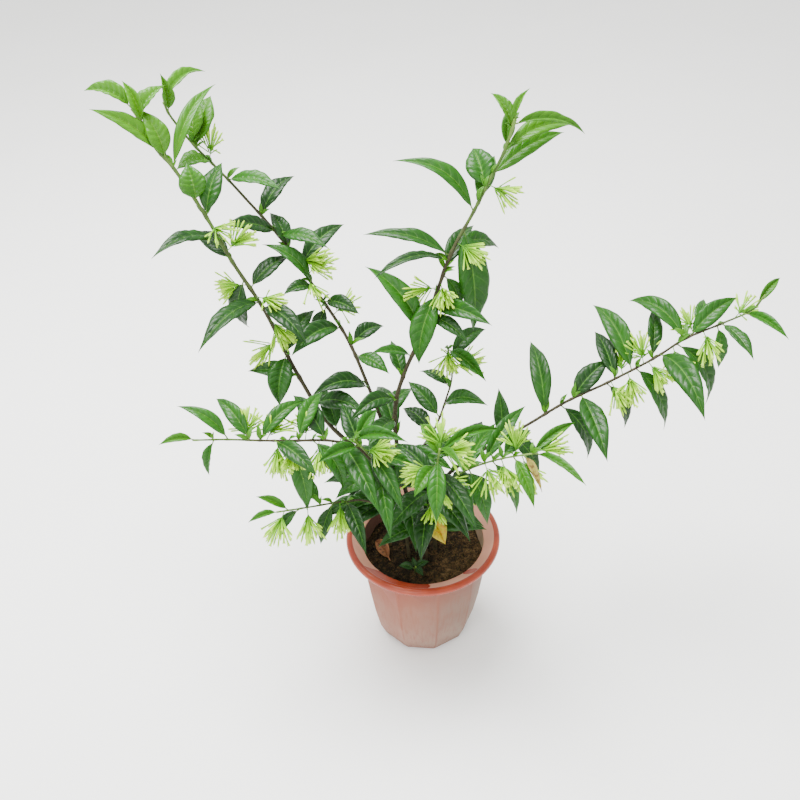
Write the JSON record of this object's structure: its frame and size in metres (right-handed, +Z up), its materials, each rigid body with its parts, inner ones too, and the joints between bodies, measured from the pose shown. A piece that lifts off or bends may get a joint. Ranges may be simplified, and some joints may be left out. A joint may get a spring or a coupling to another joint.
{
  "type": "potted night-blooming jasmine",
  "caption": "Leafy shrub with arching stems and sprays of slender pale green flowers, standing in soil in a tapered faceted plastic pot with a rolled rim.",
  "frame": {"origin": "centre of the pot's underside, on the surface it stands on", "axes": "+Z up along the pot's axis, -Y towards the plant's front, +X towards its long right-hand stem"},
  "size_m": [0.8572, 0.4502, 0.7748],
  "materials": {
    "pot_plastic": "terracotta-coloured moulded plastic: satin on the lip, chalky with lime on the wall",
    "potting_soil": "matt, crumbly and damp",
    "leafy_stem": "waxy green leaves on green and grey-brown bark",
    "flower_spray": "soft matt pale green",
    "yellow_leaf": "waxy yellow with brown spots",
    "dry_leaf": "matt dry brown"
  },
  "bodies": {
    "root": {"pot": "pot_plastic", "soil": "potting_soil", "stem_upper_left": "leafy_stem", "stem_back_left": "leafy_stem", "stem_middle": "leafy_stem", "stem_right": "leafy_stem", "stem_left": "leafy_stem", "stem_front": "leafy_stem", "seedling": "leafy_stem", "flower_spray_01": "flower_spray", "flower_spray_02": "flower_spray", "flower_spray_03": "flower_spray", "flower_spray_04": "flower_spray", "flower_spray_05": "flower_spray", "flower_spray_06": "flower_spray", "flower_spray_07": "flower_spray", "flower_spray_08": "flower_spray", "flower_spray_09": "flower_spray", "flower_spray_10": "flower_spray", "flower_spray_11": "flower_spray", "flower_spray_12": "flower_spray", "flower_spray_13": "flower_spray", "flower_spray_14": "flower_spray", "flower_spray_15": "flower_spray", "flower_spray_16": "flower_spray", "flower_spray_17": "flower_spray", "flower_spray_18": "flower_spray", "flower_spray_19": "flower_spray", "flower_spray_20": "flower_spray", "flower_spray_21": "flower_spray", "flower_spray_22": "flower_spray", "flower_spray_23": "flower_spray", "flower_spray_24": "flower_spray", "flower_spray_25": "flower_spray", "flower_spray_26": "flower_spray", "flower_spray_27": "flower_spray", "flower_spray_28": "flower_spray", "flower_spray_29": "flower_spray", "flower_spray_30": "flower_spray", "flower_spray_31": "flower_spray", "flower_spray_32": "flower_spray", "flower_spray_33": "flower_spray", "flower_spray_34": "flower_spray", "flower_spray_35": "flower_spray", "flower_spray_36": "flower_spray", "flower_spray_37": "flower_spray", "flower_spray_38": "flower_spray", "flower_spray_39": "flower_spray", "flower_spray_40": "flower_spray", "flower_spray_41": "flower_spray", "flower_spray_42": "flower_spray", "flower_spray_43": "flower_spray", "flower_spray_44": "flower_spray", "flower_spray_45": "flower_spray", "flower_spray_46": "flower_spray", "flower_spray_47": "flower_spray", "flower_spray_48": "flower_spray", "yellow_leaf": "yellow_leaf", "fallen_leaf": "dry_leaf"}
  },
  "joints": []
}
